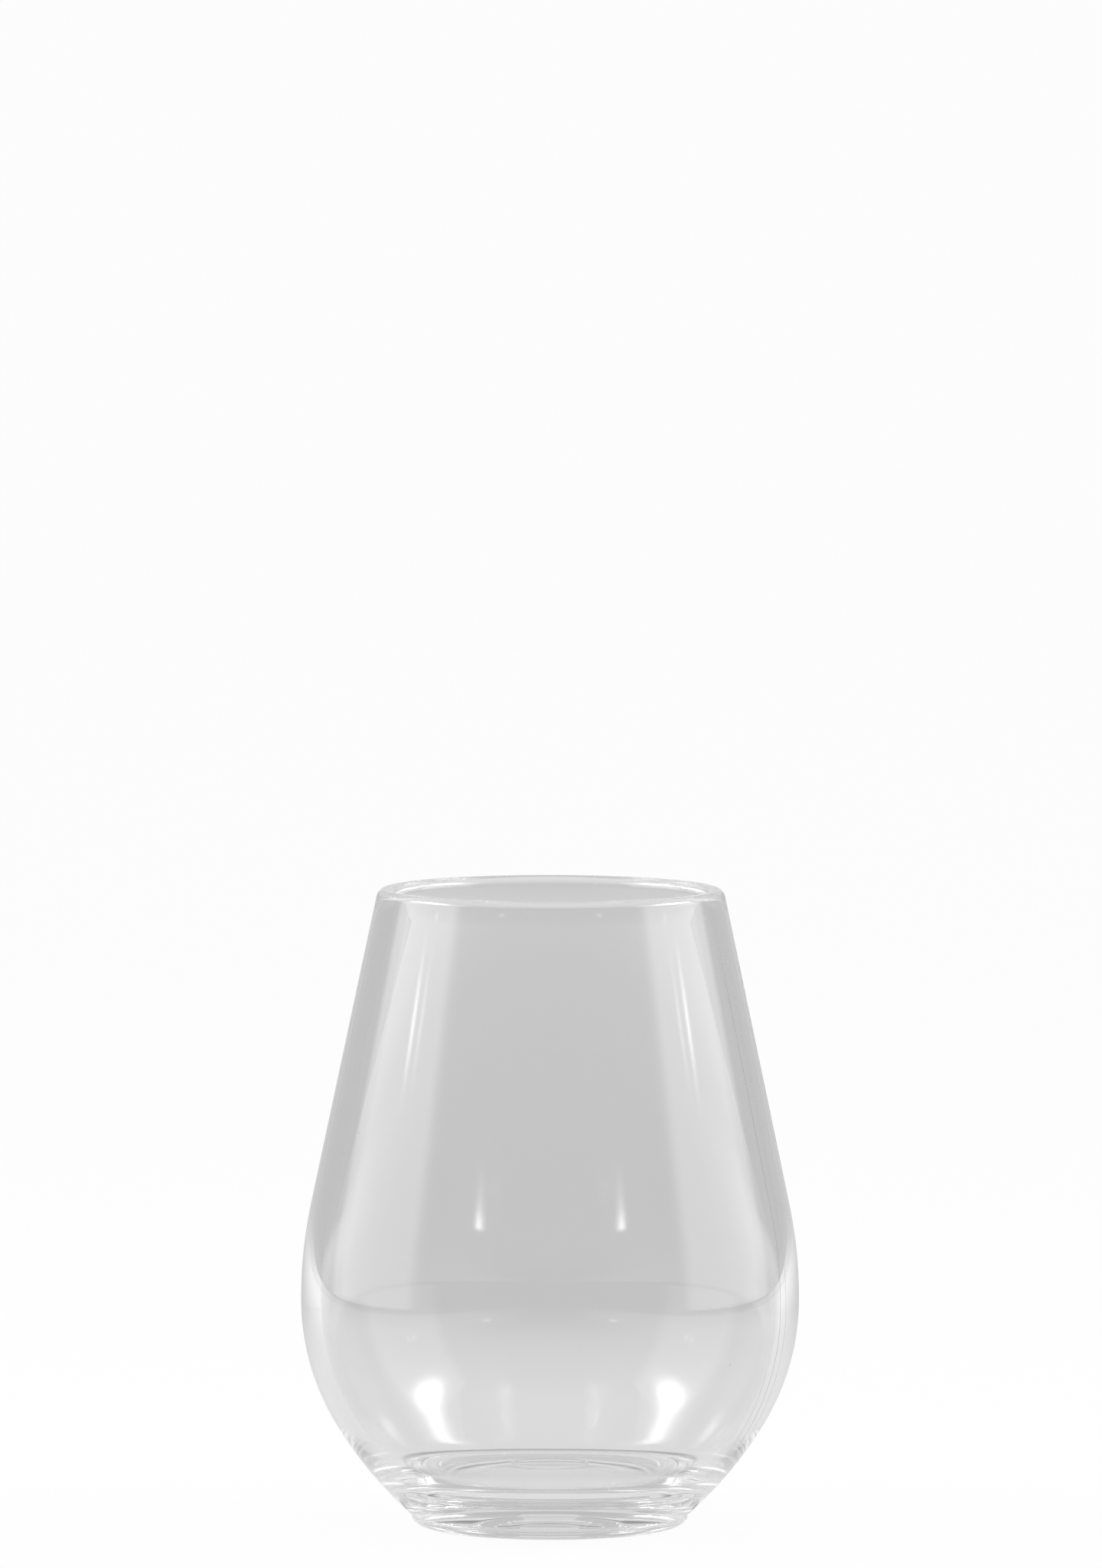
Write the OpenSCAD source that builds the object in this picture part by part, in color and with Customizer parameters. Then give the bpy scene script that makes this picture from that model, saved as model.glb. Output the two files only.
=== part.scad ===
// Stemless wine glass: a thick clear bowl of round section, bonded onto a low ring foot.
// Lengths are millimetres. The glass is round about Z and stands on the plane z = 0.
// The bowl's side is a straight tapering wall that runs down into three arcs. Its inside
// follows it at one wall thickness and rounds off into a flat floor over a thick solid base.

/* [Bowl] */
// Height of the glass, from the table to the top of the lip
glass_h = 114; // [106:0.5:124]
// Outer diameter of the mouth, over the rounded lip
mouth_d = 62.2; // [56:0.1:68]
// Diameter of the belly, where the bowl is widest
belly_d = 88.9; // [84:0.1:94]
// Height of the belly's widest ring above the table
belly_z = 40.5; // [38:0.25:43]
// Thickness of the wall, which is also the diameter of the rounded lip
wall = 3.5; // [2.5:0.1:4.5]

/* [Bowl curves] */
// Radius of the shoulder arc, as a share of one arc from the belly to the lip
shoulder_share = 0.42; // [0.3:0.01:0.6]
// Radius of the arc below the belly, as a share of one arc from the belly to the foot
lower_share = 0.905; // [0.87:0.005:0.94]
// Turn of that arc, as a share of the turn of one arc from the belly to the foot
heel_share = 0.57; // [0.45:0.01:0.65]

/* [Base] */
// Height of the inside floor above the table
floor_z = 9.5; // [8:0.25:12]
// Radius of the corner between the inside wall and the floor
floor_corner_r = 8; // [5:0.25:10]
// Depth of the domed hollow under the base, at its middle
hollow_depth = 3; // [2:0.25:4]

/* [Foot] */
// Outer diameter of the ring foot
foot_d = 49.2; // [46:0.1:51]
// Height of the ring foot
foot_h = 2.2; // [1.8:0.1:3]
// Radius of the round along the foot's upper edge
foot_top_round = 0.5; // [0.2:0.1:0.8]
// Width of the round along the foot's lower edge
foot_round_w = 2.6; // [1.6:0.1:3]
// Width of the flat ring that stands on the table
stand_w = 1.5; // [1:0.1:2.5]
// How far the foot's side stands back from the bowl's lower edge
foot_setback = 0.3; // [0.1:0.05:0.6]

/* [Joint] */
// Width of the ring face that the bowl is bonded to, from the foot's side inwards
seat_w = 8.4; // [7:0.1:9.5]
// Gap between the bowl's pad and the inside of the ring, which the bond fills
bond_gap = 0.1; // [0.05:0.05:0.2]

/* [Hidden] */

// Longest straight piece that stands for a stretch of an arc
arc_piece = 2;
// Fewest straight pieces in an arc
arc_pieces_min = 8;
// Straight pieces round the glass
$fn = 180;

mouth_r = mouth_d / 2;
belly_r = belly_d / 2;
foot_r = foot_d / 2;
lip_r = wall / 2;

// Radius and height of the middle of the lip
lip_centre = [mouth_r - lip_r, glass_h - lip_r];

// Radius of the one arc that would run upright out of the belly's widest ring and reach
// a point this far in and this far up or down from it
function one_arc_r(run, rise) = (run * run + rise * rise) / (2 * run);

// The shoulder arc meets the belly's widest ring, and the straight wall is its tangent
// through the lip, so the tilt of the wall follows from both
shoulder_r = shoulder_share * one_arc_r(belly_r - mouth_r, lip_centre[1] - belly_z);
shoulder_centre = [belly_r - shoulder_r, belly_z];
lip_offset = lip_centre - shoulder_centre;
wall_tilt = atan2(lip_offset[1], lip_offset[0])
    - acos((shoulder_r - lip_r) / norm(lip_offset));

// The arc below the belly shares the belly's widest ring
heel_edge = [foot_r + foot_setback, foot_h];
heel_run = belly_r - heel_edge[0];
heel_drop = belly_z - heel_edge[1];
lower_r = lower_share * one_arc_r(heel_run, heel_drop);
lower_turn = heel_share * 2 * atan(heel_run / heel_drop);
lower_centre = [belly_r - lower_r, belly_z];

// The heel arc is tangent to the arc above it and ends at the bowl's lower edge
heel_normal = [cos(lower_turn), -sin(lower_turn)];
heel_top = lower_centre + lower_r * heel_normal;
heel_chord = heel_edge - heel_top;
heel_r = -(heel_chord * heel_chord) / (2 * heel_chord * heel_normal);
heel_centre = heel_top - heel_r * heel_normal;
heel_end = atan2(heel_edge[1] - heel_centre[1], heel_edge[0] - heel_centre[0]);

// The corner arc is tangent to the inside wall and to the floor
inner_r = lower_r - wall;
corner_z = floor_z + floor_corner_r;
corner_reach = inner_r - floor_corner_r;
corner_drop = belly_z - corner_z;
corner_centre = [
    lower_centre[0] + sqrt(corner_reach * corner_reach - corner_drop * corner_drop),
    corner_z
];
corner_start = -atan2(corner_drop, corner_centre[0] - lower_centre[0]);

// The hollow is one dome, whose outer part lies in the ring and whose middle lies in the pad
stand_r = foot_r - foot_round_w;
hollow_r = stand_r - stand_w;
dome_r = one_arc_r(hollow_depth, hollow_r);
dome_centre = [0, hollow_depth - dome_r];
seat_r = foot_r - seat_w;
pad_r = seat_r - bond_gap;

function on_arc(centre, radius, angle) = centre + radius * [cos(angle), sin(angle)];

function arc(centre, radius, start, end) =
    let (length = PI * radius * abs(end - start) / 180)
    let (pieces = max(arc_pieces_min, ceil(length / arc_piece)))
    [for (step = [0:pieces]) on_arc(centre, radius, start + (end - start) * step / pieces)];

// Half of the bowl's section, as radius and height
module bowl_section() {
    polygon(concat(
        arc(heel_centre, heel_r, heel_end, -lower_turn),
        arc(lower_centre, lower_r, -lower_turn, 0),
        arc(shoulder_centre, shoulder_r, 0, wall_tilt),
        arc(lip_centre, lip_r, wall_tilt, 90),
        arc(lip_centre, lip_r, 90, wall_tilt + 180),
        arc(shoulder_centre, shoulder_r - wall, wall_tilt, 0),
        arc(lower_centre, inner_r, 0, corner_start),
        arc(corner_centre, floor_corner_r, corner_start, -90),
        [[0, floor_z]],
        arc(dome_centre, dome_r, 90, acos(pad_r / dome_r)),
        [[pad_r, foot_h]]
    ));
}

// Half of the ring foot's section, as radius and height
module foot_section() {
    round_h = foot_h - foot_top_round;
    top_centre = [foot_r - foot_top_round, round_h];
    polygon(concat(
        arc(dome_centre, dome_r, acos(seat_r / dome_r), acos(hollow_r / dome_r)),
        [
            for (step = [0:arc_pieces_min])
                let (turn = 90 * step / arc_pieces_min)
                [stand_r + foot_round_w * sin(turn), round_h * (1 - cos(turn))]
        ],
        arc(top_centre, foot_top_round, 0, 90),
        [[seat_r, foot_h]]
    ));
}

module bowl() {
    color([0.84, 0.86, 0.86, 0.45]) rotate_extrude() bowl_section();
}

module foot() {
    color([0.78, 0.80, 0.80, 0.55]) rotate_extrude() foot_section();
}

bowl();
foot();
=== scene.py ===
"""A stemless wine glass in clear moulded plastic, on a pale floor under soft studio light.

Lengths are metres and angles radians, save in the section of the glass, which is in mm.
"""

import logging
import math
from dataclasses import dataclass, field
from enum import Enum
from typing import Any

import bpy
from mathutils import Euler, Matrix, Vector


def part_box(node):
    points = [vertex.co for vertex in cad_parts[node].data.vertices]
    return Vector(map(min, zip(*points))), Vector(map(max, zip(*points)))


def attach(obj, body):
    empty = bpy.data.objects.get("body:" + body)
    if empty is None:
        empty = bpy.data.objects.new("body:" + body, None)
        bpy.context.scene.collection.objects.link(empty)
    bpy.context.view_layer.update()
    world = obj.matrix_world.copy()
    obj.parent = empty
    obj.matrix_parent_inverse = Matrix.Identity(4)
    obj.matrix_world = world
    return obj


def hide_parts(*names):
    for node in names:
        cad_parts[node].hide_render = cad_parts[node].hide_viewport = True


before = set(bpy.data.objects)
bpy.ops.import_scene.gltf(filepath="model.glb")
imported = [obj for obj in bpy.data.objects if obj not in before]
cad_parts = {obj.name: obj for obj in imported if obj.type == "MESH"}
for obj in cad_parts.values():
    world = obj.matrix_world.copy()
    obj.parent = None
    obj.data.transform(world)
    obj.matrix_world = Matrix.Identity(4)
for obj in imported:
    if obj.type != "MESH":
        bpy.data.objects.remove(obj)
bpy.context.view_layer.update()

LOG = logging.getLogger("stemless_glass")
BODY = "root"
MM = 0.001
WHITE = (1.0, 1.0, 1.0, 1.0)
ARC_STEPS_MIN = 8
Point = tuple[float, float]


class Side(Enum):
    """The side of the glass that a lamp stands on, as the camera sees it."""

    LEFT = -1
    RIGHT = 1


class Ray(Enum):
    """The kinds of ray that see the pale background, as Light Path names them."""

    CAMERA = "Is Camera Ray"
    GLOSSY = "Is Glossy Ray"
    TRANSMISSION = "Is Transmission Ray"


def linear(hex_colour: str) -> tuple[float, float, float, float]:
    """Turns an sRGB hex colour into Blender's linear one.

    Args:
        hex_colour: The colour as "#RRGGBB".

    Returns:
        The linear red, green and blue, with an alpha of 1.
    """
    parts = [int(hex_colour[i : i + 2], 16) / 255 for i in (1, 3, 5)]
    turned = [p / 12.92 if p <= 0.04045 else ((p + 0.055) / 1.055) ** 2.4 for p in parts]
    return (turned[0], turned[1], turned[2], 1.0)


def add_node(
    tree: bpy.types.NodeTree,
    kind: str,
    settings: dict[str, Any] | None = None,
    links: dict[str | int, bpy.types.NodeSocket] | None = None,
) -> bpy.types.Node:
    """Adds a node with its settings and links.

    Args:
        tree: The node tree.
        kind: Blender's name for the node.
        settings: Values by name; a name that is one of the node's sockets sets the socket.
        links: The output that feeds each input, by the input's name or number.

    Returns:
        The new node.
    """
    node = tree.nodes.new(kind)
    for name, value in (settings or {}).items():
        if isinstance(name, int) or name in node.inputs:
            node.inputs[name].default_value = value
        else:
            setattr(node, name, value)
    for name, source in (links or {}).items():
        tree.links.new(source, node.inputs[name])
    return node


def calc(
    tree: bpy.types.NodeTree,
    operation: str,
    *values: float | bpy.types.NodeSocket,
    clamp: bool = False,
) -> bpy.types.NodeSocket:
    """Adds a node that works out one value.

    Args:
        tree: The node tree.
        operation: Blender's name for the operation.
        values: What it works on, each a number or a socket.
        clamp: Whether the result is kept from 0 to 1.

    Returns:
        The result.
    """
    fixed = {i: v for i, v in enumerate(values) if isinstance(v, (int, float))}
    linked = {i: v for i, v in enumerate(values) if i not in fixed}
    settings = {"operation": operation, "use_clamp": clamp, **fixed}
    return add_node(tree, "ShaderNodeMath", settings, linked).outputs[0]


def span(
    tree: bpy.types.NodeTree,
    value: bpy.types.NodeSocket,
    start: float,
    end: float,
    first: float,
    last: float,
    curve: str = "SMOOTHSTEP",
) -> bpy.types.NodeSocket:
    """Maps a value from one range to another.

    Args:
        tree: The node tree.
        value: The value.
        start: The value that gives the first result.
        end: The value that gives the last result.
        first: The first result.
        last: The last result.
        curve: Blender's name for the way from one to the other.

    Returns:
        The result.
    """
    settings = {
        "interpolation_type": curve,
        "From Min": start,
        "From Max": end,
        "To Min": first,
        "To Max": last,
    }
    return add_node(tree, "ShaderNodeMapRange", settings, {"Value": value}).outputs["Result"]


def new_material(name: str) -> bpy.types.Material:
    """Makes an empty node material.

    Args:
        name: The material's name.

    Returns:
        The material, with no nodes in it.
    """
    material = bpy.data.materials.new(name)
    material.use_nodes = True
    material.node_tree.nodes.clear()
    return material


def ray_share(
    tree: bpy.types.NodeTree, rays: tuple[Ray, ...], share: float = 1.0
) -> bpy.types.NodeSocket:
    """Picks out some kinds of ray.

    Args:
        tree: The node tree of the floor or the world.
        rays: The kinds of ray.
        share: The value for them.

    Returns:
        A socket that is the share for those rays and 0 for the others.
    """
    path = add_node(tree, "ShaderNodeLightPath")
    total = path.outputs[rays[0].value]
    for ray in rays[1:]:
        total = calc(tree, "ADD", total, path.outputs[ray.value], clamp=True)
    return calc(tree, "MULTIPLY", total, share)


def ridge(
    tree: bpy.types.NodeTree, off: bpy.types.NodeSocket, width: float
) -> bpy.types.NodeSocket:
    """Turns a distance from a line into a soft ridge along it.

    Args:
        tree: The node tree.
        off: The distance from the line, on either side.
        width: The ridge's width, in the same unit.

    Returns:
        A socket that is 1 on the line and 0 beside the ridge.
    """
    return span(tree, calc(tree, "ABSOLUTE", off), 0.0, width / 2, 1.0, 0.0)


@dataclass(frozen=True)
class ClearPlastic:
    """Clear copolyester, injection moulded in a polished tool.

    It is nearly colourless, with a faint grey where it is looked through, a hard shine, a
    very gentle waviness from shrinkage, and a fine witness line where the tool's two halves
    met.
    """

    name: str = "clear_plastic"
    colour: str = "#FAFAFA"
    ior: float = 1.55
    roughness: float = 0.0
    wave_size: float = 14 * MM
    wave_detail: float = 1.0
    wave_detail_share: float = 0.4
    wave_height: float = 0.008 * MM
    line_turn: float = math.radians(-19.5)
    line_width: float = 0.25 * MM
    line_height: float = 0.007 * MM
    speck_apart: float = 9.0 * MM
    speck_size: float = 0.3 * MM
    speck_height: float = 0.14 * MM
    speck_share: float = 0.5

    def make(self) -> bpy.types.Material:
        """Builds the material.

        Returns:
            The material.
        """
        material = new_material(self.name)
        tree = material.node_tree
        place = add_node(tree, "ShaderNodeTexCoord").outputs["Object"]
        surface: dict[str | int, bpy.types.NodeSocket] = {}
        for height, depth in (
            (self._waves(tree, place), self.wave_height),
            (self._parting_line(tree, place), self.line_height),
            (self._specks(tree, place), self.speck_height),
        ):
            settings = {"Strength": 1.0, "Distance": depth}
            bump = add_node(tree, "ShaderNodeBump", settings, {"Height": height, **surface})
            surface = {"Normal": bump.outputs[0]}
        shader = add_node(
            tree,
            "ShaderNodeBsdfPrincipled",
            {
                "Base Color": linear(self.colour),
                "Roughness": self.roughness,
                "IOR": self.ior,
                "Transmission Weight": 1.0,
            },
            surface,
        )
        add_node(tree, "ShaderNodeOutputMaterial", {}, {"Surface": shader.outputs[0]})
        return material

    def _waves(
        self, tree: bpy.types.NodeTree, place: bpy.types.NodeSocket
    ) -> bpy.types.NodeSocket:
        """Draws the slow waves that shrinkage leaves in a thick moulding.

        Args:
            tree: The material's nodes.
            place: The object coordinates.

        Returns:
            The height of the waves, from 0 to 1.
        """
        settings = {
            "Scale": 1 / self.wave_size,
            "Detail": self.wave_detail,
            "Roughness": self.wave_detail_share,
        }
        return add_node(tree, "ShaderNodeTexNoise", settings, {"Vector": place}).outputs[0]

    def _parting_line(
        self, tree: bpy.types.NodeTree, place: bpy.types.NodeSocket
    ) -> bpy.types.NodeSocket:
        """Draws the tool's parting line, in the upright plane through the axis.

        Args:
            tree: The material's nodes.
            place: The object coordinates.

        Returns:
            A socket that is 1 on the line and 0 beside it.
        """
        across = (-math.sin(self.line_turn), math.cos(self.line_turn), 0)
        settings = {"operation": "DOT_PRODUCT", 1: across}
        off = add_node(tree, "ShaderNodeVectorMath", settings, {0: place})
        return ridge(tree, off.outputs["Value"], self.line_width)

    def _specks(
        self, tree: bpy.types.NodeTree, place: bpy.types.NodeSocket
    ) -> bpy.types.NodeSocket:
        """Strews fine specks, as dust and small nicks leave on a handled glass.

        Args:
            tree: The material's nodes.
            place: The object coordinates.

        Returns:
            A socket that is 1 in the middle of a speck and 0 beside it.
        """
        cells = add_node(
            tree, "ShaderNodeTexVoronoi", {"Scale": 1 / self.speck_apart}, {"Vector": place}
        )
        spot = ridge(tree, cells.outputs["Distance"], self.speck_size / self.speck_apart)
        chance = add_node(tree, "ShaderNodeSeparateColor", {}, {0: cells.outputs["Color"]})
        kept = calc(tree, "LESS_THAN", chance.outputs[0], self.speck_share)
        return calc(tree, "MULTIPLY", spot, kept)


@dataclass(frozen=True)
class BondFilm:
    """Clear solvent bond, which joins the two mouldings so well that the eye passes it."""

    name: str = "clear_bond"

    def make(self) -> bpy.types.Material:
        """Builds the material, which lets each ray straight through.

        Returns:
            The material.
        """
        material = new_material(self.name)
        tree = material.node_tree
        clear = add_node(tree, "ShaderNodeBsdfTransparent")
        add_node(tree, "ShaderNodeOutputMaterial", {}, {"Surface": clear.outputs[0]})
        return material


def arc(centre: Point, radius: float, start: float, end: float, piece: float = 1.0) -> list[Point]:
    """Lays points along an arc.

    Args:
        centre: The arc's centre, as radius and height in mm.
        radius: The arc's radius in mm.
        start: The angle it starts at, in radians.
        end: The angle it ends at, in radians.
        piece: The longest step along it in mm.

    Returns:
        The points, as radius and height in mm.
    """
    steps = max(ARC_STEPS_MIN, math.ceil(radius * abs(end - start) / piece))
    turns = [start + (end - start) * i / steps for i in range(steps + 1)]
    return [(centre[0] + radius * math.cos(t), centre[1] + radius * math.sin(t)) for t in turns]


def straight(start: Point, end: Point, piece: float = 3.0) -> list[Point]:
    """Lays points along a straight line.

    Args:
        start: Where it starts, as radius and height in mm.
        end: Where it ends.
        piece: The longest step along it in mm.

    Returns:
        The points, without the first and the last.
    """
    steps = max(1, math.ceil(math.dist(start, end) / piece))
    return [
        (start[0] + (end[0] - start[0]) * i / steps, start[1] + (end[1] - start[1]) * i / steps)
        for i in range(1, steps)
    ]


@dataclass(frozen=True)
class Section:
    """The sizes of the glass in mm, and the arcs that follow from them."""

    glass_h: float = 114.0
    mouth_r: float = 31.1
    belly_r: float = 44.45
    belly_z: float = 40.5
    wall: float = 3.5
    shoulder_share: float = 0.42
    lower_share: float = 0.905
    heel_share: float = 0.57
    floor_z: float = 9.5
    floor_corner_r: float = 8.0
    hollow_depth: float = 3.0
    foot_r: float = 24.6
    foot_h: float = 2.2
    foot_top_round: float = 0.5
    foot_round_w: float = 2.6
    stand_w: float = 1.5
    foot_setback: float = 0.3
    seat_w: float = 8.4
    gate_r: float = 6.65
    gate_w: float = 0.9
    gate_h: float = 0.2
    gate_steps: int = 12
    corner_piece: float = 0.3
    lip_piece: float = 0.2
    edge_piece: float = 0.1
    round_steps: int = 24

    @staticmethod
    def one_arc_r(run: float, rise: float) -> float:
        """Gives the radius of an arc that starts upright and ends this far in and up."""
        return (run * run + rise * rise) / (2 * run)

    @property
    def lip_centre(self) -> Point:
        """The middle of the rounded lip."""
        return (self.mouth_r - self.wall / 2, self.glass_h - self.wall / 2)

    @property
    def shoulder_r(self) -> float:
        """The outside radius of the arc above the belly."""
        run = self.belly_r - self.mouth_r
        return self.shoulder_share * self.one_arc_r(run, self.lip_centre[1] - self.belly_z)

    @property
    def shoulder_centre(self) -> Point:
        """The centre of the arc above the belly."""
        return (self.belly_r - self.shoulder_r, self.belly_z)

    @property
    def wall_tilt(self) -> float:
        """The tilt of the straight wall, in radians."""
        x = self.lip_centre[0] - self.shoulder_centre[0]
        z = self.lip_centre[1] - self.shoulder_centre[1]
        return math.atan2(z, x) - math.acos((self.shoulder_r - self.wall / 2) / math.hypot(x, z))

    @property
    def heel_edge(self) -> Point:
        """The bowl's lower edge."""
        return (self.foot_r + self.foot_setback, self.foot_h)

    @property
    def lower_r(self) -> float:
        """The outside radius of the arc below the belly."""
        run = self.belly_r - self.heel_edge[0]
        return self.lower_share * self.one_arc_r(run, self.belly_z - self.heel_edge[1])

    @property
    def lower_turn(self) -> float:
        """The angle that the arc below the belly turns through, in radians."""
        run = self.belly_r - self.heel_edge[0]
        return self.heel_share * 2 * math.atan(run / (self.belly_z - self.heel_edge[1]))

    @property
    def lower_centre(self) -> Point:
        """The centre of the arc below the belly."""
        return (self.belly_r - self.lower_r, self.belly_z)

    @property
    def stand_r(self) -> float:
        """The outer radius of the ring that stands on the table."""
        return self.foot_r - self.foot_round_w

    @property
    def hollow_r(self) -> float:
        """The radius of the hollow at the table."""
        return self.stand_r - self.stand_w

    @property
    def dome_r(self) -> float:
        """The radius of the dome that shapes the hollow."""
        return self.one_arc_r(self.hollow_depth, self.hollow_r)

    @property
    def seat_r(self) -> float:
        """The inner radius of the ring foot, where the bowl's pad ends."""
        return self.foot_r - self.seat_w

    def dome(self, inner: float, outer: float) -> list[Point]:
        """Lays points along the hollow's dome, from one radius out to another."""
        ends = [math.acos(r / self.dome_r) for r in (inner, outer)]
        return arc((0.0, self.hollow_depth - self.dome_r), self.dome_r, ends[0], ends[1])

    def heel(self) -> list[Point]:
        """Lays points along the heel, from the bowl's lower edge up to the arc over it."""
        normal = (math.cos(self.lower_turn), -math.sin(self.lower_turn))
        top = (
            self.lower_centre[0] + self.lower_r * normal[0],
            self.lower_centre[1] + self.lower_r * normal[1],
        )
        chord = (self.heel_edge[0] - top[0], self.heel_edge[1] - top[1])
        along = chord[0] * normal[0] + chord[1] * normal[1]
        radius = -(chord[0] ** 2 + chord[1] ** 2) / (2 * along)
        centre = (top[0] - radius * normal[0], top[1] - radius * normal[1])
        end = math.atan2(self.heel_edge[1] - centre[1], self.heel_edge[0] - centre[0])
        return arc(centre, radius, end, -self.lower_turn)

    def inside(self) -> list[Point]:
        """Lays points down the inside, from the lip to the middle of the floor."""
        inner_r = self.lower_r - self.wall
        low = self.floor_corner_r
        corner_z = self.floor_z + low
        reach, drop = inner_r - low, self.belly_z - corner_z
        corner = (self.lower_centre[0] + math.sqrt(reach * reach - drop * drop), corner_z)
        turn = -math.atan2(drop, corner[0] - self.lower_centre[0])
        top = arc(self.shoulder_centre, self.shoulder_r - self.wall, self.wall_tilt, 0.0)
        return (
            straight(self._lip_end(), top[0])
            + top
            + arc(self.lower_centre, inner_r, 0.0, turn)[1:]
            + arc(corner, low, turn, -math.pi / 2, self.corner_piece)[1:]
            + self.gate_ring((corner[0], self.floor_z))
        )

    def gate_ring(self, start: Point) -> list[Point]:
        """Lays points in along the floor, over the low ring that the mould's gate left."""
        shares = [i / self.gate_steps for i in range(self.gate_steps + 1)]
        ring = [
            (
                self.gate_r + self.gate_w * (0.5 - share),
                self.floor_z + self.gate_h * math.sin(math.pi * share) ** 2,
            )
            for share in shares
        ]
        middle = (0.0, self.floor_z)
        return straight(start, ring[0]) + ring + straight(ring[-1], middle) + [middle]

    def _lip_end(self) -> Point:
        """Gives the point where the lip's round runs into the inside wall."""
        turn = self.wall_tilt + math.pi
        return (
            self.lip_centre[0] + self.wall / 2 * math.cos(turn),
            self.lip_centre[1] + self.wall / 2 * math.sin(turn),
        )

    def outside(self) -> list[Point]:
        """Lays points up the outside, from the bowl's lower edge and over the lip."""
        heel = self.heel()
        shoulder = arc(self.shoulder_centre, self.shoulder_r, 0.0, self.wall_tilt)
        turns = (self.wall_tilt, self.wall_tilt + math.pi)
        lip = arc(self.lip_centre, self.wall / 2, *turns, self.lip_piece)
        return (
            heel
            + arc(self.lower_centre, self.lower_r, -self.lower_turn, 0.0)[1:]
            + shoulder[1:]
            + straight(shoulder[-1], lip[0])
            + lip
        )


def leave_nothing_selected() -> None:
    """Goes to object mode and deselects every object."""
    if bpy.context.object is not None and bpy.context.object.mode != "OBJECT":
        bpy.ops.object.mode_set(mode="OBJECT")
    bpy.ops.object.select_all(action="DESELECT")


@dataclass
class Turned:
    """A round solid, drawn as half of its section and spun about Z as on a lathe."""

    section: Section
    segments: int = 256
    sharp_above: float = math.radians(24)
    weld: float = 0.001 * MM
    seam_weld: float = 0.002 * MM
    level_slack: float = 0.02 * MM
    side_slack: float = 0.2 * MM
    flat_share: float = 0.99
    upright_share: float = 0.01

    def spin(self, name: str, outline: list[Point]) -> bpy.types.Object:
        """Draws the outline point by point and spins it.

        Args:
            name: The piece's name.
            outline: The half section in mm, as radius and height.

        Returns:
            The piece, closed, with its faces outwards and smooth.
        """
        leave_nothing_selected()
        bpy.ops.mesh.primitive_plane_add(size=MM, location=(0, 0, 0))
        piece = bpy.context.object
        piece.name = piece.data.name = name
        bpy.ops.object.mode_set(mode="EDIT")
        bpy.ops.mesh.merge(type="CENTER")
        last = outline[0]
        bpy.ops.transform.translate(value=(last[0] * MM, 0, last[1] * MM))
        for point in outline[1:] + outline[:1]:
            step = ((point[0] - last[0]) * MM, 0, (point[1] - last[1]) * MM)
            bpy.ops.mesh.extrude_vertices_move(TRANSFORM_OT_translate={"value": step})
            last = point
        bpy.ops.mesh.select_all(action="SELECT")
        bpy.ops.mesh.remove_doubles(threshold=self.weld)
        bpy.ops.mesh.select_all(action="SELECT")
        bpy.ops.mesh.spin(
            steps=self.segments, angle=2 * math.pi, center=(0, 0, 0), axis=(0, 0, 1)
        )
        bpy.ops.mesh.select_all(action="SELECT")
        bpy.ops.mesh.remove_doubles(threshold=self.seam_weld)
        bpy.ops.mesh.normals_make_consistent(inside=False)
        bpy.ops.object.mode_set(mode="OBJECT")
        bpy.ops.object.shade_smooth_by_angle(angle=self.sharp_above)
        return piece

    def dress(self, piece: bpy.types.Object, plastic: ClearPlastic, bond: BondFilm) -> None:
        """Gives the piece its plastic, and the bond where the two pieces meet.

        Args:
            piece: The piece.
            plastic: The finish of its free faces.
            bond: The finish of the faces that are bonded.
        """
        piece.data.materials.append(plastic.make())
        piece.data.materials.append(bond.make())
        seat_r, seat_z = self.section.seat_r * MM, self.section.foot_h * MM
        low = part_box("foot")[0].z
        for face in piece.data.polygons:
            centre = face.center
            radius = math.hypot(centre.x, centre.y)
            lean = abs(face.normal.z)
            flat = lean > self.flat_share and abs(centre.z - seat_z) < self.level_slack
            upright = lean < self.upright_share and abs(radius - seat_r) < self.side_slack
            inside = radius < (self.section.foot_r - self.section.foot_top_round) * MM
            if inside and (flat or (upright and low < centre.z < seat_z)):
                face.material_index = 1


@dataclass
class Bowl(Turned):
    """The thick bowl with its pad, which reaches down inside the ring foot."""

    pad_start: float = 0.001

    def build(self) -> bpy.types.Object:
        """Builds the bowl.

        Returns:
            The bowl.
        """
        s = self.section
        pad = s.dome(self.pad_start, s.seat_r)
        rim = (s.foot_r - s.foot_top_round, s.foot_h)
        outline = (
            s.outside()
            + s.inside()
            + [(0.0, s.hollow_depth)]
            + pad[1:]
            + [(s.seat_r, s.foot_h)]
            + straight((s.seat_r, s.foot_h), rim)
            + [rim]
        )
        return self.spin("glass_bowl", outline)


@dataclass
class Foot(Turned):
    """The ring foot, rounded above and below, with its standing ring."""

    def build(self) -> bpy.types.Object:
        """Builds the ring foot.

        Returns:
            The foot.
        """
        s = self.section
        rise = s.foot_h - s.foot_top_round
        top = (s.foot_r - s.foot_top_round, rise)
        turns = [math.pi / 2 * i / s.round_steps for i in range(s.round_steps + 1)]
        low = [
            (s.stand_r + s.foot_round_w * math.sin(t), rise * (1 - math.cos(t))) for t in turns
        ]
        edge = arc(top, s.foot_top_round, 0.0, math.pi / 2, s.edge_piece)
        outline = (
            s.dome(s.seat_r, s.hollow_r)
            + low
            + edge[1:]
            + straight(edge[-1], (s.seat_r, s.foot_h))
            + [(s.seat_r, s.foot_h)]
        )
        return self.spin("glass_foot", outline)


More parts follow.
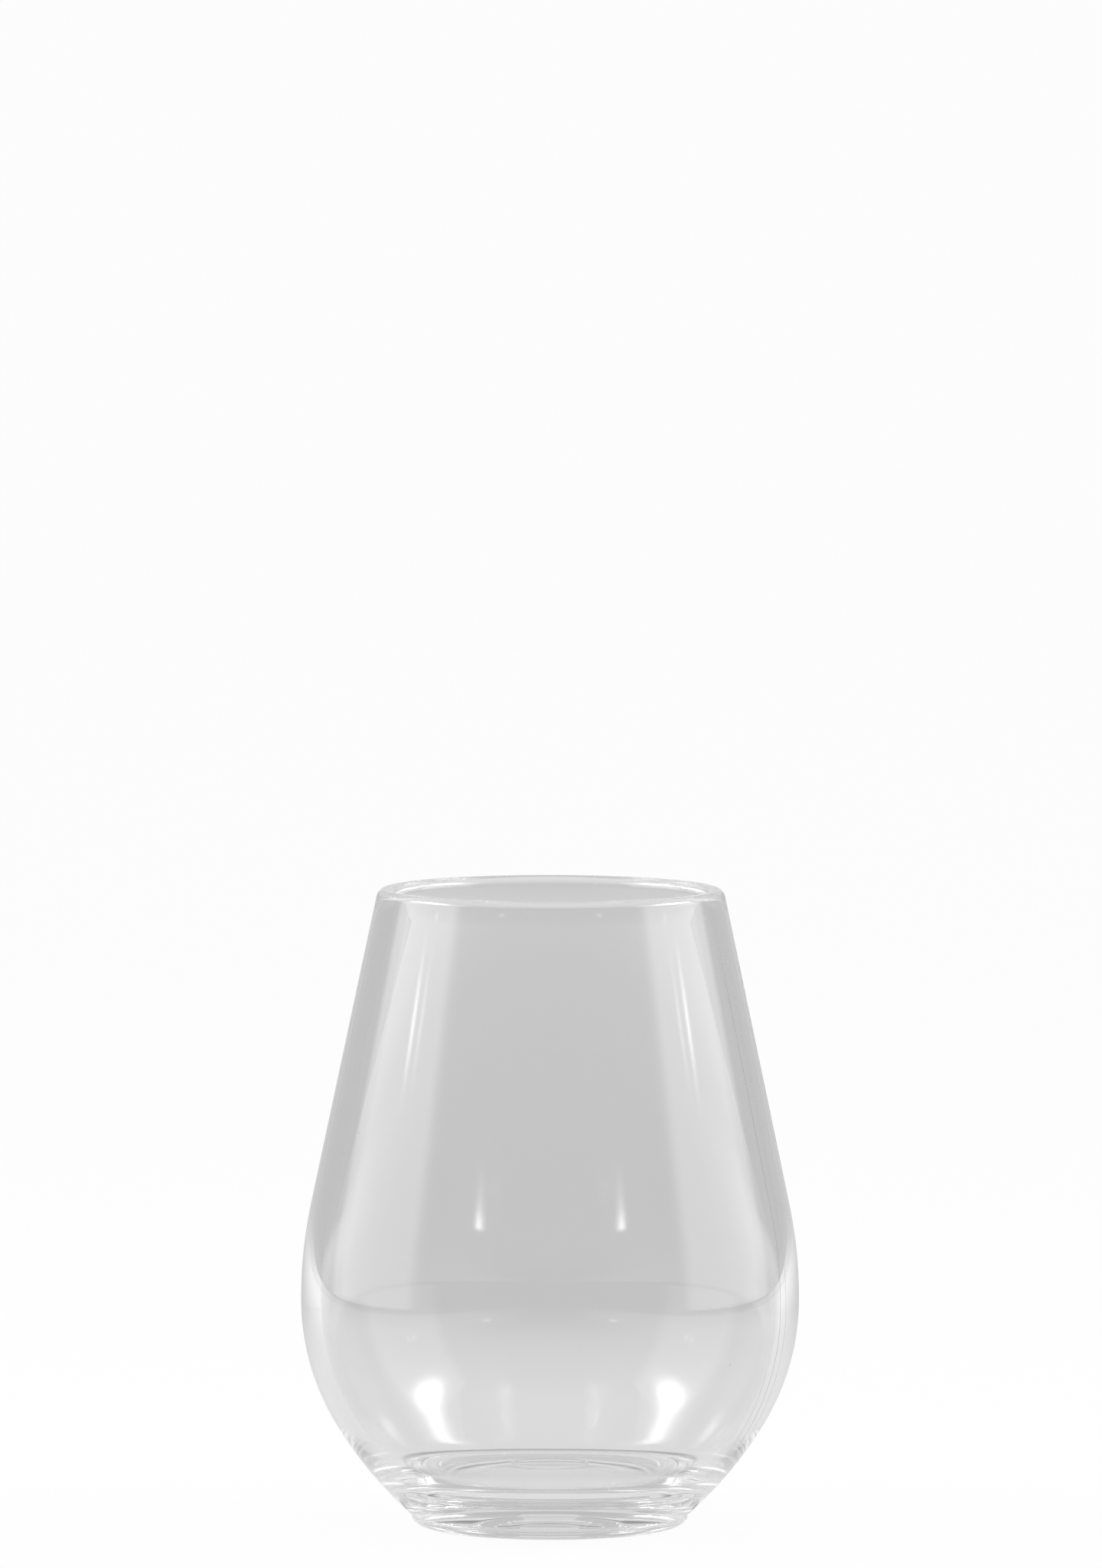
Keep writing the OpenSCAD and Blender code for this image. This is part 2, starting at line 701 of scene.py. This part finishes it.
@dataclass
class Stage:
    """A sheet of white paper, which runs back and up behind the glass, in a grey studio."""

    width: float = 0.9
    front: float = -1.2
    back: float = 2.6
    level: float = -0.1 * MM
    rise: float = 1.2
    sweep: float = 0.6
    sweep_steps: int = 24
    sharp_above: float = math.radians(30)
    colour: str = "#D6D6D6"
    room: float = 0.55
    fill: float = 0.7
    camera_shadow: float = 0.04
    glass_shadow: float = 0.1
    # Painted shadow: a dark ring on the paper round the foot, which only the clear plastic shows.
    painted_shadow_r: float = 29.4 * MM
    painted_shadow_width: float = 7.0 * MM
    painted_shadow_depth: float = 0.75
    # Painted light: the paper's brightness by distance from the glass, brightest under the clear
    # base.
    glow: tuple[tuple[float, float], ...] = (
        (0.0, 0.88),
        (0.03, 0.84),
        (0.05, 0.8),
        (0.14, 0.8),
        (0.27, 0.69),
        (0.34, 0.6),
        (0.6, 0.6),
        (1.15, 0.63),
        (1.5, 0.69),
        (2.8, 0.74),
    )
    glow_range: float = 4.0
    # Painted light on the paper beside the glass, towards the softboxes.
    painted_side_light: float = 0.44
    side_reach: tuple[float, float] = (0.08, 0.32)
    side_fade: tuple[float, float] = (0.6, 1.0)

    def build(self) -> bpy.types.Object:
        """Builds the floor and its backdrop.

        Returns:
            The floor, as one sheet.
        """
        leave_nothing_selected()
        bpy.ops.mesh.primitive_plane_add(size=1, location=(0, 0, 0))
        floor = bpy.context.object
        floor.name = floor.data.name = "pale_floor"
        middle, depth = (self.front + self.back) / 2, self.back - self.front
        floor.scale = (self.width, depth, 1)
        floor.location = (0, middle, self.level)
        bpy.ops.object.transform_apply(location=True, rotation=False, scale=True)
        self._sweep_up(floor)
        bpy.ops.object.shade_smooth_by_angle(angle=self.sharp_above)
        floor.data.materials.append(self._paper())
        return floor

    def _sweep_up(self, floor: bpy.types.Object) -> None:
        """Draws the floor's far edge up into the backdrop, round a wide bend.

        Args:
            floor: The flat floor.
        """
        bpy.ops.object.mode_set(mode="EDIT")
        bpy.ops.mesh.select_mode(type="EDGE")
        bpy.ops.mesh.select_all(action="DESELECT")
        bpy.ops.object.mode_set(mode="OBJECT")
        for edge in floor.data.edges:
            ends = [floor.data.vertices[v].co.y for v in edge.vertices]
            edge.select = min(ends) > self.back - MM
        bpy.ops.object.mode_set(mode="EDIT")
        last = (self.back, self.level)
        for i in range(1, self.sweep_steps + 1):
            turn = math.pi / 2 * i / self.sweep_steps
            point = (
                self.back + self.sweep * math.sin(turn),
                self.level + self.sweep * (1 - math.cos(turn)),
            )
            step = (0, point[0] - last[0], point[1] - last[1])
            bpy.ops.mesh.extrude_edges_move(TRANSFORM_OT_translate={"value": step})
            last = point
        bpy.ops.mesh.extrude_edges_move(TRANSFORM_OT_translate={"value": (0, 0, self.rise)})
        bpy.ops.object.mode_set(mode="OBJECT")

    def _paper(self) -> bpy.types.Material:
        """Makes matt white background paper, which the camera sees as white.

        Returns:
            The material, which still takes a part of the object's shadow.
        """
        material = new_material("background_paper")
        tree = material.node_tree
        matt = add_node(tree, "ShaderNodeBsdfDiffuse", {"Color": linear(self.colour)})
        white = add_node(tree, "ShaderNodeEmission", {"Color": WHITE, "Strength": 1.0})
        # The clear plastic sees the paper as painted light, with a painted shadow ring round the
        # foot.
        pale = add_node(tree, "ShaderNodeEmission", {}, {"Strength": self._painted_pool(tree)})
        seen = add_node(
            tree,
            "ShaderNodeMixShader",
            {},
            {
                0: ray_share(tree, (Ray.CAMERA,), 1 - self.camera_shadow),
                1: matt.outputs[0],
                2: white.outputs[0],
            },
        )
        both = add_node(
            tree,
            "ShaderNodeMixShader",
            {},
            {
                0: ray_share(tree, (Ray.GLOSSY, Ray.TRANSMISSION), 1 - self.glass_shadow),
                1: seen.outputs[0],
                2: pale.outputs[0],
            },
        )
        add_node(tree, "ShaderNodeOutputMaterial", {}, {"Surface": both.outputs[0]})
        return material

    def _painted_pool(self, tree: bpy.types.NodeTree) -> bpy.types.NodeSocket:
        """Paints a pool of light round the glass and beside it, and a shadow ring round the foot.

        Args:
            tree: The paper's nodes.

        Returns:
            The paper's brightness as the clear plastic shows it.
        """
        place = add_node(tree, "ShaderNodeTexCoord").outputs["Object"]
        away = add_node(tree, "ShaderNodeVectorMath", {"operation": "LENGTH"}, {0: place})
        share = calc(tree, "DIVIDE", away.outputs["Value"], self.glow_range)
        near = add_node(tree, "ShaderNodeFloatCurve", {}, {"Value": share})
        curve = near.mapping.curves[0]
        stops = [(radius / self.glow_range, glow) for radius, glow in self.glow]
        curve.points[0].location, curve.points[1].location = stops[0], stops[-1]
        for stop in stops[1:-1]:
            curve.points.new(*stop)
        for point in curve.points:
            point.handle_type = "VECTOR"
        near.mapping.extend = "HORIZONTAL"
        near.mapping.update()
        parts = add_node(tree, "ShaderNodeSeparateXYZ", {}, {0: place})
        beside = calc(tree, "ABSOLUTE", parts.outputs["X"])
        # Painted light: the paper is brightened towards the softboxes, fading with distance.
        side = span(tree, beside, *self.side_reach, 0.0, self.painted_side_light)
        fade = span(tree, away.outputs["Value"], *self.side_fade, 1.0, 0.0, "LINEAR")
        lit = calc(tree, "MULTIPLY_ADD", side, fade, near.outputs["Value"], clamp=True)
        # Painted shadow: the paper's brightness is darkened in a ring round the foot.
        off = calc(tree, "SUBTRACT", away.outputs["Value"], self.painted_shadow_r)
        shade = ridge(tree, off, self.painted_shadow_width)
        left = calc(tree, "MULTIPLY_ADD", shade, -self.painted_shadow_depth, 1.0)
        return calc(tree, "MULTIPLY", lit, left)

    def light(self) -> None:
        """Sets the world.

        The camera sees it as white as the paper, the clear plastic sees the grey room round
        the paper, and what is matt gets a soft fill.
        """
        world = bpy.data.worlds.new("studio_fill")
        bpy.context.scene.world = world
        world.use_nodes = True
        tree = world.node_tree
        tree.nodes.clear()
        through = ray_share(tree, (Ray.GLOSSY, Ray.TRANSMISSION), self.room - self.fill)
        white = ray_share(tree, (Ray.CAMERA,), 1 - self.fill)
        level = calc(tree, "ADD", calc(tree, "ADD", through, white), self.fill)
        sky = add_node(tree, "ShaderNodeBackground", {"Color": WHITE}, {"Strength": level})
        add_node(tree, "ShaderNodeOutputWorld", {}, {"Surface": sky.outputs[0]})


def distance_on(
    tree: bpy.types.NodeTree, face: bpy.types.NodeSocket, spot: Point, size: Point
) -> bpy.types.NodeSocket:
    """Measures how far a point of a lamp's face is from a spot on it.

    Args:
        tree: The lamp's nodes.
        face: The point on the face, each way from 0 to 1.
        spot: The spot, each way from 0 to 1.
        size: The face's width and height, in the unit of the distance.

    Returns:
        The distance.
    """
    settings = {"operation": "SUBTRACT", 1: (*spot, 0)}
    apart = add_node(tree, "ShaderNodeVectorMath", settings, {0: face})
    settings = {"operation": "MULTIPLY", 1: (*size, 0)}
    scaled = add_node(tree, "ShaderNodeVectorMath", settings, {0: apart.outputs["Vector"]})
    settings = {"operation": "LENGTH"}
    away = add_node(tree, "ShaderNodeVectorMath", settings, {0: scaled.outputs["Vector"]})
    return away.outputs["Value"]


def add_bell(
    tree: bpy.types.NodeTree,
    away: bpy.types.NodeSocket,
    size: float,
    glow: float,
    under: float | bpy.types.NodeSocket = 0.0,
) -> bpy.types.NodeSocket:
    """Adds a round glow that falls off as a bell curve.

    Args:
        tree: The lamp's nodes.
        away: The distance from the glow's middle.
        size: The distance at which the glow has fallen to about a third.
        glow: Its strength in the middle.
        under: The strength that it is added to.

    Returns:
        The strength.
    """
    square = calc(tree, "POWER", calc(tree, "DIVIDE", away, size), 2.0)
    bell = calc(tree, "EXPONENT", calc(tree, "MULTIPLY", square, -1.0))
    return calc(tree, "MULTIPLY_ADD", bell, glow, under)


def light_up(tree: bpy.types.NodeTree, strength: bpy.types.NodeSocket, through: float) -> None:
    """Makes a lamp's face glow, in full in a mirror and dimmed through the clear plastic.

    Args:
        tree: The lamp's nodes.
        strength: The strength over the lamp's face.
        through: The share of it that is seen through the plastic.
    """
    depth = add_node(tree, "ShaderNodeLightPath").outputs["Transmission Depth"]
    passes = calc(tree, "GREATER_THAN", depth, 0.5)
    dimmed = calc(tree, "MULTIPLY_ADD", passes, through - 1, 1.0)
    total = calc(tree, "MULTIPLY", strength, dimmed)
    light = add_node(tree, "ShaderNodeEmission", {}, {"Strength": total})
    add_node(tree, "ShaderNodeOutputLight", {}, {"Surface": light.outputs[0]})


@dataclass
class SideLamp:
    """A tall softbox beside the glass, brighter round its bulb, as softboxes are."""

    side: Side
    distance: float = 0.45
    middle: tuple[float, float] = (0.0, 0.28)
    size: tuple[float, float] = (0.5, 0.54)
    cloth: float = 1.65
    through: float = 0.4
    cloth_fade: float = 0.07
    foot_fade: float = 0.25
    foot_share: float = 0.75
    bulb: tuple[float, float] = (0.066, 0.42)
    bulb_size: float = 0.055
    bulb_stretch: float = 2.0
    bulb_glow: float = 28.0
    halo_size: float = 0.16
    halo_glow: float = 0.6
    low_bulb: tuple[float, float] = (-0.04, 0.183)
    low_bulb_size: float = 0.011
    low_bulb_glow: float = 5.0

    def build(self) -> None:
        """Adds the softbox, which faces the glass."""
        leave_nothing_selected()
        place = (self.side.value * self.distance, self.middle[0], self.middle[1])
        bpy.ops.object.light_add(type="AREA", location=place)
        lamp = bpy.context.object
        lamp.name = f"softbox_{self.side.name.lower()}"
        lamp.rotation_euler = (math.pi / 2, 0, self.side.value * math.pi / 2)
        lamp.data.shape = "RECTANGLE"
        lamp.data.size, lamp.data.size_y = self.size
        lamp.data.energy = math.pi * self.size[0] * self.size[1]
        lamp.visible_camera = False
        lamp.data.use_nodes = True
        self._glow(lamp.data.node_tree)

    def _glow(self, tree: bpy.types.NodeTree) -> None:
        """Gives the softbox a cloth that dims to its edges, with a bulb and its halo behind it.

        Args:
            tree: The lamp's nodes.
        """
        tree.nodes.clear()
        face = add_node(tree, "ShaderNodeNewGeometry").outputs["Parametric"]
        away = self._distance(tree, face, self.bulb, self.bulb_stretch)
        low = self._distance(tree, face, self.low_bulb)
        strength = self._cloth(tree, face)
        strength = add_bell(tree, away, self.bulb_size, self.bulb_glow, strength)
        strength = add_bell(tree, away, self.halo_size, self.halo_glow, strength)
        strength = add_bell(tree, low, self.low_bulb_size, self.low_bulb_glow, strength)
        light_up(tree, strength, self.through)

    def _cloth(
        self, tree: bpy.types.NodeTree, face: bpy.types.NodeSocket
    ) -> bpy.types.NodeSocket:
        """Makes the cloth's own light, which fades to its upright edges and dims downwards.

        Args:
            tree: The lamp's nodes.
            face: The point on the lamp's face, each way from 0 to 1.

        Returns:
            The cloth's strength.
        """
        parts = add_node(tree, "ShaderNodeSeparateXYZ", {}, {0: face})
        off = calc(tree, "ABSOLUTE", calc(tree, "SUBTRACT", parts.outputs["X"], 0.5))
        edge = 0.5 - self.cloth_fade / self.size[0]
        across = span(tree, off, edge, 0.5, self.cloth, 0.0)
        foot = self.foot_fade / self.size[1]
        up = span(tree, parts.outputs["Y"], 0.0, foot, self.foot_share, 1.0)
        return calc(tree, "MULTIPLY", across, up)

    def _distance(
        self,
        tree: bpy.types.NodeTree,
        face: bpy.types.NodeSocket,
        bulb: Point,
        stretch: float = 1.0,
    ) -> bpy.types.NodeSocket:
        """Measures how far a point of the cloth is from a bulb.

        Args:
            tree: The lamp's nodes.
            face: The point on the lamp's face, each way from 0 to 1.
            bulb: The bulb's place, as depth and height in metres.
            stretch: How many times wider than tall its glow is.

        Returns:
            The distance in metres.
        """
        across = self.side.value * (bulb[0] - self.middle[0]) / self.size[0] + 0.5
        up = (bulb[1] - self.middle[1]) / self.size[1] + 0.5
        return distance_on(tree, face, (across, up), (self.size[0] / stretch, self.size[1]))


@dataclass
class FrontLamp:
    """A small lamp in front of the glass, which leaves a short upright highlight."""

    side: Side
    turn: float = math.radians(34.6)
    rise: float = math.radians(15.7)
    distance: float = 1.0
    height: float = 0.057
    size: tuple[float, float] = (0.15, 0.055)
    core: float = 0.2
    glow: float = 8.0
    through: float = 0.3

    def build(self) -> None:
        """Adds the lamp, which faces the glass."""
        leave_nothing_selected()
        along = self.distance * math.cos(self.rise)
        place = (
            self.side.value * along * math.sin(self.turn),
            -along * math.cos(self.turn),
            self.height + self.distance * math.sin(self.rise),
        )
        bpy.ops.object.light_add(type="AREA", location=place)
        lamp = bpy.context.object
        lamp.name = f"front_lamp_{self.side.name.lower()}"
        lamp.rotation_euler = (math.pi / 2 - self.rise, 0, self.side.value * self.turn)
        lamp.data.shape = "RECTANGLE"
        lamp.data.size, lamp.data.size_y = self.size
        lamp.data.energy = math.pi * self.size[0] * self.size[1]
        lamp.visible_camera = False
        lamp.data.use_nodes = True
        self._glow(lamp.data.node_tree)

    def _glow(self, tree: bpy.types.NodeTree) -> None:
        """Gives the lamp a bright core that fades to its edges.

        Args:
            tree: The lamp's nodes.
        """
        tree.nodes.clear()
        face = add_node(tree, "ShaderNodeNewGeometry").outputs["Parametric"]
        away = distance_on(tree, face, (0.5, 0.5), (1.0, 1.0))
        light_up(tree, add_bell(tree, away, self.core, self.glow), self.through)


@dataclass
class PhotoCamera:
    """The camera, at the photograph's distance, height and framing."""

    distance: float = 2.5
    height: float = 0.3183
    focal_pixels: float = 18395.0
    aim_height: float = 0.057
    aim_row: float = 1576.07
    aim_column: float = 719.0
    roll: float = math.radians(0.12)
    width: float = 1440.0
    rows: float = 2048.0
    sensor: float = 36.0
    clip_end: float = 100.0

    def build(self) -> bpy.types.Object:
        """Adds the camera and makes it the scene's.

        Returns:
            The camera.
        """
        leave_nothing_selected()
        fall = math.atan((self.height - self.aim_height) / self.distance)
        pitch = fall - math.atan((self.aim_row - self.rows / 2) / self.focal_pixels)
        # The roll turns about the middle of the picture, so it swings the aim sideways.
        swing = (self.aim_row - self.rows / 2) * math.tan(self.roll)
        yaw = math.atan((self.aim_column + swing - self.width / 2) / self.focal_pixels)
        level = Euler((math.pi / 2 - pitch, 0, yaw)).to_matrix()
        turned = level @ Matrix.Rotation(self.roll, 3, "Z")
        bpy.ops.object.camera_add(
            location=(0, -self.distance, self.height), rotation=turned.to_euler()
        )
        camera = bpy.context.object
        camera.data.sensor_fit = "HORIZONTAL"
        camera.data.sensor_width = self.sensor
        camera.data.lens = self.focal_pixels / self.width * self.sensor
        camera.data.clip_end = self.clip_end
        bpy.context.scene.camera = camera
        return camera


@dataclass
class Glass:
    """The whole glass: the bowl and its ring foot, in one clear plastic."""

    section: Section = field(default_factory=Section)
    plastic: ClearPlastic = field(default_factory=ClearPlastic)
    bond: BondFilm = field(default_factory=BondFilm)

    def build(self) -> list[bpy.types.Object]:
        """Builds both pieces, dresses them and ties them to the frame.

        Returns:
            The pieces.
        """
        pieces = []
        for maker, node, slot in (
            (Bowl(self.section), "bowl", "bowl_plastic"),
            (Foot(self.section), "foot", "foot_plastic"),
        ):
            piece = maker.build()
            maker.dress(piece, self.plastic, self.bond)
            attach(piece, BODY)
            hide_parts(node)
            LOG.info("%s: %d faces", piece.name, len(piece.data.polygons))
            pieces.append(piece)
        return pieces


def set_view(bounces: int = 512, clear_bounces: int = 128) -> None:
    """Sets the plain view transform and lets rays run on inside the clear base.

    Args:
        bounces: How often a ray may be mirrored or bent. Fewer leave black ripples.
        clear_bounces: How often it may pass the bond.
    """
    scene = bpy.context.scene
    scene.view_settings.view_transform = "Standard"
    scene.cycles.max_bounces = bounces
    scene.cycles.glossy_bounces = bounces
    scene.cycles.transmission_bounces = bounces
    scene.cycles.transparent_max_bounces = clear_bounces


def main() -> None:
    """Builds the glass, its floor, its light and its camera."""
    logging.basicConfig(level=logging.INFO, format="%(name)s: %(message)s")
    leave_nothing_selected()
    Glass().build()
    stage = Stage()
    stage.build()
    stage.light()
    for side in Side:
        SideLamp(side).build()
        FrontLamp(side).build()
    PhotoCamera().build()
    set_view()


if __name__ == "__main__":
    main()
